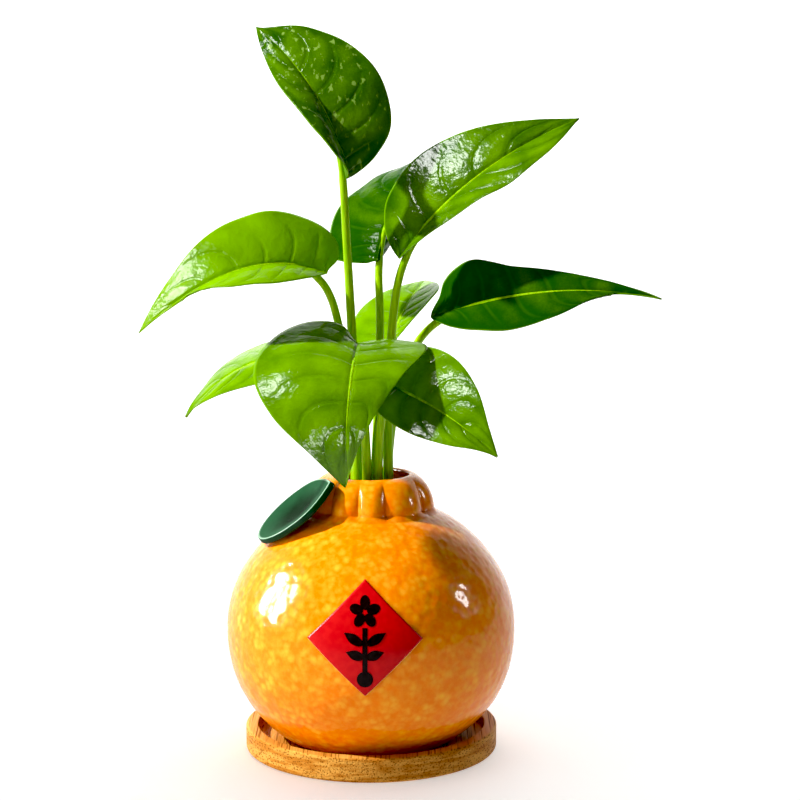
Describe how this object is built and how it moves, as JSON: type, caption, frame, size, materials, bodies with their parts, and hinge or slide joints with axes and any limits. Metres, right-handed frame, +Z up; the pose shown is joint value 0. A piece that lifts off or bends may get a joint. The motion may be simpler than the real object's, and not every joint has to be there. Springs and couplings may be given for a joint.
{
  "type": "potted pothos plant",
  "caption": "Young pothos with glossy heart-shaped leaves in a mandarin-shaped glazed pot with a lobed neck, standing in a round bamboo saucer; a tabletop houseplant.",
  "frame": {"origin": "centre of the saucer's flat underside, on the pot's axis", "axes": "+Z up; the pot's decorated front faces -Y; +X to the right seen from the front"},
  "size_m": [0.2081, 0.121, 0.298],
  "materials": {
    "bamboo": "satin oiled bamboo with fine parallel fibres",
    "orange_glaze": "mottled, dimpled high-gloss glaze",
    "potting_mix": "matt, crumbly",
    "short_stem": "matt green",
    "red_enamel": "satin red with a fine gold edge and a black sprig",
    "celadon_glaze": "dark green gloss glaze, paler on the rims",
    "stalk_green": "smooth, slightly glossy",
    "leaf_green": "glossy green, veined"
  },
  "bodies": {
    "root": {"bamboo_saucer": "bamboo", "pot": "orange_glaze", "potting_mix": "potting_mix", "short_stem": "short_stem", "red_diamond": "red_enamel", "ceramic_leaf": "celadon_glaze", "stalk_top": "stalk_green", "stalk_left": "stalk_green", "stalk_back_middle": "stalk_green", "stalk_upper_right": "stalk_green", "stalk_right": "stalk_green", "stalk_small_back": "stalk_green", "stalk_front": "stalk_green", "stalk_lower_right": "stalk_green", "stalk_lower_left": "stalk_green", "leaf_top": "leaf_green", "leaf_left": "leaf_green", "leaf_back_middle": "leaf_green", "leaf_upper_right": "leaf_green", "leaf_right": "leaf_green", "leaf_small_back": "leaf_green", "leaf_front": "leaf_green", "leaf_lower_right": "leaf_green", "leaf_lower_left": "leaf_green"}
  },
  "joints": []
}
